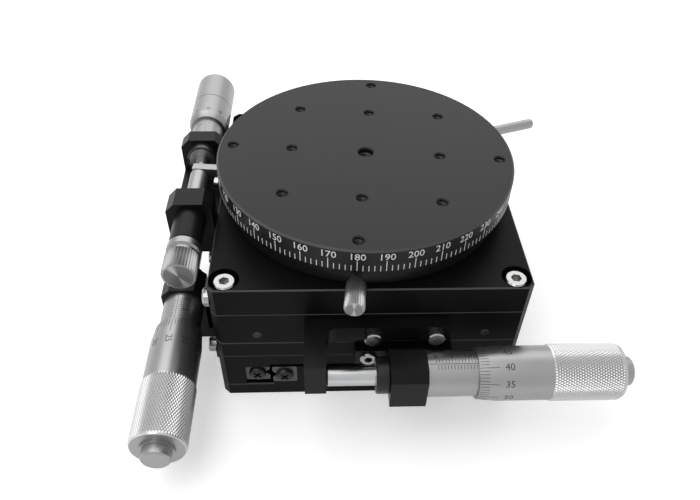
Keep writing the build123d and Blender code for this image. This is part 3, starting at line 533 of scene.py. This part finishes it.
def makeDiamondKnurl(name, head, look, body):
    # a tube of squares; poking it and dropping the old edges leaves diamonds, poked again
    bm = bmesh.new()
    rowHigh = (look["end"] - look["start"]) / look["rows"]
    ring = bmesh.ops.create_circle(bm, cap_ends=False, segments=look["around"],
                                   radius=look["valley"])
    bmesh.ops.translate(bm, vec=(0, 0, look["start"]), verts=ring["verts"])
    first = edges = list({e for v in ring["verts"] for e in v.link_edges})
    for row in range(look["rows"]):
        verts, edges = newRing(bmesh.ops.extrude_edge_only(bm, edges=edges))
        bmesh.ops.translate(bm, vec=(0, 0, rowHigh), verts=verts)
    bmesh.ops.recalc_face_normals(bm, faces=bm.faces)
    old = [e for e in bm.edges if not e.is_boundary]
    bmesh.ops.poke(bm, faces=bm.faces[:], offset=0.0)
    for vert in bm.verts:                             # poked centres go back to the round
        flat = Vector((vert.co.x, vert.co.y, 0))
        vert.co += flat.normalized() * (look["valley"] - flat.length)
    bmesh.ops.dissolve_edges(bm, edges=old, use_verts=False)
    bmesh.ops.poke(bm, faces=[f for f in bm.faces if len(f.verts) == 4], offset=look["proud"])
    for rim, radius, place in ((first, look["inside"], look["start"]),
                               (edges, look["endRadius"], look["endPlace"])):
        verts, _ = newRing(bmesh.ops.extrude_edge_only(bm, edges=rim))
        size = radius / look["valley"]
        bmesh.ops.scale(bm, vec=(size, size, 1), verts=verts)
        bmesh.ops.translate(bm, vec=(0, 0, place - verts[0].co.z), verts=verts)
    placeAlong(bm, head)
    finishPiece(name, bm, "knurledChrome", body, 12)


makeThimble("xThimble", xHead, thimbleGrip, "x_thimble", "x_thimble")
makeThimble("yThimble", yHead, thimbleGrip, "y_thimble", "y_thimble")


def makeRibbedKnob(name, look, body, node):
    # ribs stand along a straight knurl; a plain shank and a bevelled end close it
    bm = bmesh.new()
    ribs = look["ribs"]
    ring = bmesh.ops.create_circle(bm, cap_ends=True, segments=ribs * 2, radius=look["radius"])
    valleys = [v for i, v in enumerate(ring["verts"]) if i % 2]
    bmesh.ops.scale(bm, vec=(look["valley"], look["valley"], 1), verts=valleys)
    top, _ = newRing(bmesh.ops.extrude_face_region(bm, geom=bm.faces[:]))
    bmesh.ops.translate(bm, vec=(0, 0, look["long"]), verts=top)
    rims = [e for e in bm.edges if abs(e.verts[0].co.z - e.verts[1].co.z) < weld]
    bmesh.ops.bevel(bm, geom=rims, offset=look["bevel"], offset_type="OFFSET", segments=2,
                    profile=0.5, affect="EDGES", material=-1)
    spinProfile(bm, look["shank"], look["shankSteps"])
    out = Vector(look["out"]).normalized()
    across = Vector((0, 0, 1)).cross(out).normalized()
    place = Matrix.Translation(Vector(look["start"])) @ standOn(across, out.cross(across), out)
    bmesh.ops.transform(bm, matrix=place, verts=bm.verts)
    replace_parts(finishPiece(name, bm, look["finish"], body, 25), node)


clampKnob = {"finish": "clampChrome", "ribs": 24, "radius": 3.1, "valley": 0.87,
             "long": 10.6, "bevel": 0.3, "out": tableFront,
             "start": tableFront * 51.0 + Vector((0, 0, 55.05)), "shankSteps": 48,
             "shank": [(0, -6.97), (1.5, -6.97), (1.5, -2.2), (1.9, -2.2), (1.9, 0.1), (0, 0.1)]}
preloadKnob = {"finish": "preloadChrome", "ribs": 36, "radius": 5.3, "valley": 0.915,
               "long": 8.4, "bevel": 0.35, "out": (0, -1, 0), "start": (-57.7, -38.7, 54.9),
               "shankSteps": 48,
               "shank": [(0, -7.6), (2.9, -7.6), (2.9, -4.5), (5.05, -4.5), (5.3, -4.2),
                         (5.3, -1.8), (4.6, -1.3), (4.6, 0.1), (0, 0.1)]}
makeRibbedKnob("clampKnobGrip", clampKnob, "clamp_knob", "clamp_knob")
makeRibbedKnob("preloadKnobGrip", preloadKnob, "preload_knob", "preload_knob")
print("knurls made")

# screws; a cap screw's hex is the radius to its socket's corners, its edge the head's chamfer
smallCap = {"head": 2.75, "high": 3.0, "shank": 1.5, "hex": 1.44, "deep": 1.6, "edge": 0.35}
largeCap = {"head": 3.5, "high": 4.0, "shank": 2.0, "hex": 1.73, "deep": 2.0, "edge": 0.4}
tinyCap = {"head": 2.0, "high": 1.9, "shank": 1.0, "hex": 1.0, "deep": 1.0, "edge": 0.2}
sideCap = {"head": 3.0, "high": 2.0, "shank": 1.5, "hex": 1.44, "deep": 1.2, "edge": 0.5}
screwSteps = 24                                  # points round a head; the cross needs 4 times 6


def turnDown(bm, level, profile):
    # a ring of edges is extruded through (radius, height) steps and closed at the last
    for radius, height in profile:
        verts, level = newRing(bmesh.ops.extrude_edge_only(bm, edges=level))
        size = Vector(verts[0].co[:2]).length
        bmesh.ops.scale(bm, vec=(radius / size, radius / size, 1), verts=verts)
        bmesh.ops.translate(bm, vec=(0, 0, height - verts[0].co.z), verts=verts)
    bmesh.ops.contextual_create(bm, geom=level)


def sinkRecess(bm, outer, inner, high, deep):
    # the head's flat ring, then the socket's walls and its floor
    bmesh.ops.translate(bm, vec=(0, 0, high), verts=outer + inner)
    rings = [list({e for v in ring for e in v.link_edges}) for ring in (outer, inner)]
    bmesh.ops.bridge_loops(bm, edges=rings[0] + rings[1])
    low, lowEdges = newRing(bmesh.ops.extrude_edge_only(bm, edges=rings[1]))
    bmesh.ops.translate(bm, vec=(0, 0, -deep), verts=low)
    bmesh.ops.contextual_create(bm, geom=lowEdges)
    return rings


def addCapScrew(bm, look, length, seat, out):
    # a turned head with a hexagon sunk in it; seat is the middle of the head's underside
    r, high, edge = look["head"], look["high"], look["edge"]
    before = set(bm.verts)
    outer = bmesh.ops.create_circle(bm, segments=screwSteps, radius=r - edge)["verts"]
    inner = bmesh.ops.create_circle(bm, segments=screwSteps, radius=look["hex"])["verts"]
    for vert in inner:                               # drawn in to the six flats
        turn = math.atan2(vert.co.y, vert.co.x) % math.radians(60) - math.radians(30)
        vert.co *= math.cos(math.radians(30)) / math.cos(turn)
    rings = sinkRecess(bm, outer, inner, high, look["deep"])
    turnDown(bm, rings[0], [(r, high - edge), (r, 0), (look["shank"], 0),
                            (look["shank"], -length)])
    placeOn(bm, before, seat, out)


# a domed head with a cross sunk in it; the dome's points are shares of the head's radius and height
panScrew = {"head": 3.0, "high": 1.4, "shank": 1.5, "cross": 1.55, "slot": 0.36, "deep": 0.9,
            "flat": 0.62, "dome": [(0.85, 0.86), (0.97, 0.5)]}


def addPanScrew(bm, look, length, seat, out):
    r, high = look["head"], look["high"]
    before = set(bm.verts)
    outer = bmesh.ops.create_circle(bm, segments=screwSteps, radius=r * look["flat"])["verts"]
    inner = bmesh.ops.create_circle(bm, segments=screwSteps, radius=1)["verts"]
    far, thin = look["cross"], look["slot"]
    middle = (far + thin) / 2
    quarter = [(far, 0), (far, thin), (middle, thin), (thin, thin), (thin, middle), (thin, far)]
    inOrder = sorted(inner, key=lambda v: math.atan2(v.co.y, v.co.x) % math.tau)
    for number, vert in enumerate(inOrder):
        turn = Matrix.Rotation(math.radians(90) * (number // len(quarter)), 2)
        vert.co.xy = turn @ Vector(quarter[number % len(quarter)])
    rings = sinkRecess(bm, outer, inner, high, look["deep"])
    dome = [(r * wide, high * tall) for wide, tall in look["dome"]]
    turnDown(bm, rings[0], dome + [(r, 0), (look["shank"], 0), (look["shank"], -length)])
    placeOn(bm, before, seat, out)


# the pin that a return spring hooks on
springPost = {"radius": 1.5, "edge": 0.3, "steps": 24}


def addPost(bm, x, y, low, high):
    r, edge = springPost["radius"], springPost["edge"]
    spinProfile(bm, [(0, low), (r - edge, low), (r, low + edge), (r, high - edge),
                     (r - edge, high), (0, high)], springPost["steps"],
                Matrix.Translation((x, y, 0)))


def makeScrews(name, look, material):
    # a row holds a kind of screw, its length, and where each head sits and points
    bm = bmesh.new()
    for screw, length, seats in look["rows"]:
        addScrew = addPanScrew if screw is panScrew else addCapScrew
        for seat, out in seats:
            addScrew(bm, screw, length, seat, out)
    if "post" in look:
        addPost(bm, *look["post"])
    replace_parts(finishPiece(name, bm, material, look["body"], 30), look["node"])


corners = [(x, y) for x in (-45, 45) for y in (-45, 45)]
upward, down, toLeft, toFront = (0, 0, 1), (0, 0, -1), (-1, 0, 0), (0, -1, 0)
brightScrews = {
    "bodyCapScrews": {"node": "body_screws", "body": "x_carriage", "rows": [
        (largeCap, 9.0, [((x, y, 47.0), upward) for x, y in corners]),
        (sideCap, 6.0, [((-50, -45.5, 44.6), toLeft)])]},
    "xHolderScrews": {"node": "x_holder_screws", "body": "y_carriage", "rows": [
        (smallCap, 7.2, [((x, -52.2, 24.15), toFront) for x in (-0.4, 22.4)])]},
    "xAnvilScrews": {"node": "x_anvil_screws", "body": "x_carriage", "rows": [
        (smallCap, 9.1, [((x, -54.1, 35.9), toFront) for x in (0.57, 20.27)])]},
    "yHolderScrews": {"node": "y_holder_screws", "body": "base", "rows": [
        (smallCap, 9.1, [((-54.1, y, 2.75), toLeft) for y in (-29.7, -6.9)])]},
    "yAnvilScrews": {"node": "y_anvil_screws", "body": "y_carriage", "rows": [
        (smallCap, 9.1, [((-54.1, y, 24.1), toLeft) for y in (-5.15, -24.85)])]},
    "fineBracketScrews": {"node": "fine_bracket_screws", "body": "x_carriage", "rows": [
        (smallCap, 16.0, [((-61.6, y, 45.0), toLeft) for y in (-12, 12)])]},
    "armScrews": {"node": "arm_screws", "body": "clamp_ring", "rows": [
        (tinyCap, 6.7, [(turnTable @ Vector((-49.6, y, 55.05)), turnTable @ Vector(toLeft))
                        for y in (-6, 6)])]},
}
for name, look in brightScrews.items():
    makeScrews(name, look, "stainless")
print("screws made")

# the screws between the plates: pans that stop the rails, caps that hold them, and the posts
ends, along = (-1, 1), (-32, 0, 32)
darkScrews = {
    "yBaseScrews": {"node": "y_base_fasteners", "body": "base", "rows": [
        (panScrew, 8.0, [((x, y * 50, 10.6), (0, y, 0)) for x in (-28.25, 28.25) for y in ends]),
        (smallCap, 9.0, [((x, y, 11.3), upward) for x in (-27.65, 27.65) for y in along])],
        "post": (0, -30, 4.6, 12.1)},
    "yTableScrews": {"node": "y_table_fasteners", "body": "y_carriage", "rows": [
        (panScrew, 8.0, [((x, y * 49, 10.6), (0, y, 0)) for x in (-37.55, 37.55) for y in ends]),
        (smallCap, 7.7, [((x, y, 9.9), down) for x in (-38.15, 38.15) for y in along])],
        "post": (0, 30, 8.1, 17.9)},
    "xBaseScrews": {"node": "x_base_fasteners", "body": "y_carriage", "rows": [
        (panScrew, 8.0, [((x * 50, y, 32.4), (x, 0, 0)) for x in ends for y in (-28.25, 28.25)]),
        (smallCap, 8.7, [((x, y, 33.1), upward) for x in along for y in (-27.65, 27.65)]),
        (largeCap, 5.2, [((x, y, 23.1), upward) for x, y in corners])],
        "post": (30, 0, 26.4, 33.9)},
    "xTableScrews": {"node": "x_table_fasteners", "body": "x_carriage", "rows": [
        (panScrew, 8.0, [((x * 49, y, 32.4), (x, 0, 0)) for x in ends for y in (-37.55, 37.55)]),
        (smallCap, 7.7, [((x, y, 31.7), down) for x in along for y in (-38.15, 38.15)])],
        "post": (-30, 0, 29.9, 39.0)},
}
for name, look in darkScrews.items():
    makeScrews(name, look, "blackOxide")

# two set screws that press the upper guide's rails together, flush with the front
railSet = {"spots": [(-36.2, -50, 31.4), (37.5, -50, 31.4)], "steps": 32,
           "profile": [(0, -0.3), (1.45, -0.3), (1.45, 0.01), (1.2, 0.05), (1.05, 0.01),
                       (0, 0.01)]}


def makeSetScrews(name, look, body):
    bm = bmesh.new()
    for spot in look["spots"]:
        before = set(bm.verts)
        spinProfile(bm, look["profile"], look["steps"])
        placeOn(bm, before, spot, toFront)
    finishPiece(name, bm, "blackOxide", body, 20)


makeSetScrews("railSetScrews", railSet, "x_carriage")
print("rail screws made")

# floor, lights, camera
card = {"size": 3.0, "colour": "#f2f2f2", "rough": 0.8, "specular": 0.1, "lift": 0.42}


def whiteRays(tree):
    # 1 for the rays that see the white studio: the camera's, and those metal and glass send on
    seen = addNode(tree, "ShaderNodeLightPath")
    direct = addNode(tree, "ShaderNodeMath", {"operation": "MAXIMUM"}, {
        0: seen.outputs["Is Camera Ray"], 1: seen.outputs["Is Transmission Ray"]})
    return addNode(tree, "ShaderNodeMath", {"operation": "MAXIMUM"}, {
        0: direct.outputs["Value"], 1: seen.outputs["Is Glossy Ray"]}).outputs["Value"]


def paleCard(look):
    # plain white card: it looks white, also in metal, and still takes the object's shadow
    material = bpy.data.materials.new("paleFloor")
    material.use_nodes = True
    tree = material.node_tree
    shader = tree.nodes["Principled BSDF"]
    shader.inputs["Base Color"].default_value = linearColour(look["colour"])
    shader.inputs["Roughness"].default_value = look["rough"]
    shader.inputs["Specular IOR Level"].default_value = look["specular"]
    shader.inputs["Emission Color"].default_value = (1, 1, 1, 1)
    lift = addNode(tree, "ShaderNodeMapRange", inputs={
        "Value": whiteRays(tree), "To Min": 0.0, "To Max": look["lift"]})
    tree.links.new(lift.outputs["Result"], shader.inputs["Emission Strength"])
    return material


def makeFloor(look):
    bm = bmesh.new()
    bmesh.ops.create_grid(bm, x_segments=1, y_segments=1, size=look["size"])
    mesh = bpy.data.meshes.new("floor")
    bm.to_mesh(mesh)
    bm.free()
    mesh.materials.append(paleCard(look))
    floor = bpy.data.objects.new("floor", mesh)
    bpy.context.scene.collection.objects.link(floor)


makeFloor(card)

# lamps: places and sizes in metres, power in watts
lamps = {
    "backLamp": {"at": (-0.1, 0.75, 0.95), "aim": (0, 0, 0.05), "size": (1.4, 0.9), "power": 6.0},
    "topLamp": {"at": (-0.45, -0.05, 1.25), "aim": (0, 0, 0.04), "size": (0.9, 0.9), "power": 5.5},
    "leftLamp": {"at": (-1.1, -0.15, 0.55), "aim": (0, 0, 0.04), "size": (0.7, 1.0), "power": 2.5},
    "edgeLamp": {"at": (-0.30, -0.62, 0.90), "aim": (0, 0, 0.04), "size": (0.40, 0.30),
                 "power": 1.3},
}


def addLamp(name, look):
    data = bpy.data.lights.new(name, "AREA")
    data.shape = "RECTANGLE"
    data.size, data.size_y = look["size"]
    data.energy = look["power"]
    lamp = bpy.data.objects.new(name, data)
    lamp.location = look["at"]
    aim = Vector(look["aim"]) - Vector(look["at"])
    lamp.rotation_euler = aim.to_track_quat("-Z", "Y").to_euler()
    bpy.context.scene.collection.objects.link(lamp)


for name, look in lamps.items():
    addLamp(name, look)

# the camera, shiny metal and glass see the white studio; dull surfaces get a softer fill
studio = {"seen": 1.0, "fill": 0.35}


def makeWorld(look):
    world = bpy.data.worlds.new("studio")
    world.use_nodes = True
    bpy.context.scene.world = world
    tree = world.node_tree
    background = tree.nodes["Background"]
    background.inputs["Color"].default_value = (1, 1, 1, 1)
    strength = addNode(tree, "ShaderNodeMapRange", inputs={
        "Value": whiteRays(tree), "To Min": look["fill"], "To Max": look["seen"]})
    tree.links.new(strength.outputs["Result"], background.inputs["Strength"])


makeWorld(studio)

# angles in degrees, the place in millimetres
cameraLook = {"at": (-15.14, -188.67, 194.36), "azimuth": -3.645, "elevation": 45.51,
              "roll": 1.984, "lens": 34.09, "sensor": 36, "shift": (-0.0026, 0.0527),
              "nearest": 0.01}


def addCamera(look):
    az, el, roll = (math.radians(look[k]) for k in ("azimuth", "elevation", "roll"))
    back = Vector((math.sin(az) * math.cos(el), -math.cos(az) * math.cos(el), math.sin(el)))
    right = Vector((math.cos(az), math.sin(az), 0))
    up = back.cross(right)
    data = bpy.data.cameras.new("camera")
    data.lens, data.sensor_width = look["lens"], look["sensor"]
    data.shift_x, data.shift_y = look["shift"]
    data.clip_start = look["nearest"]
    camera = bpy.data.objects.new("camera", data)
    camera.matrix_world = Matrix.Translation(Vector(look["at"]) / 1000) @ standOn(
        right * math.cos(roll) + up * math.sin(roll),
        up * math.cos(roll) - right * math.sin(roll), back)
    bpy.context.scene.collection.objects.link(camera)
    bpy.context.scene.camera = camera


addCamera(cameraLook)
bpy.context.scene.view_settings.view_transform = "Standard"
print("stage made")
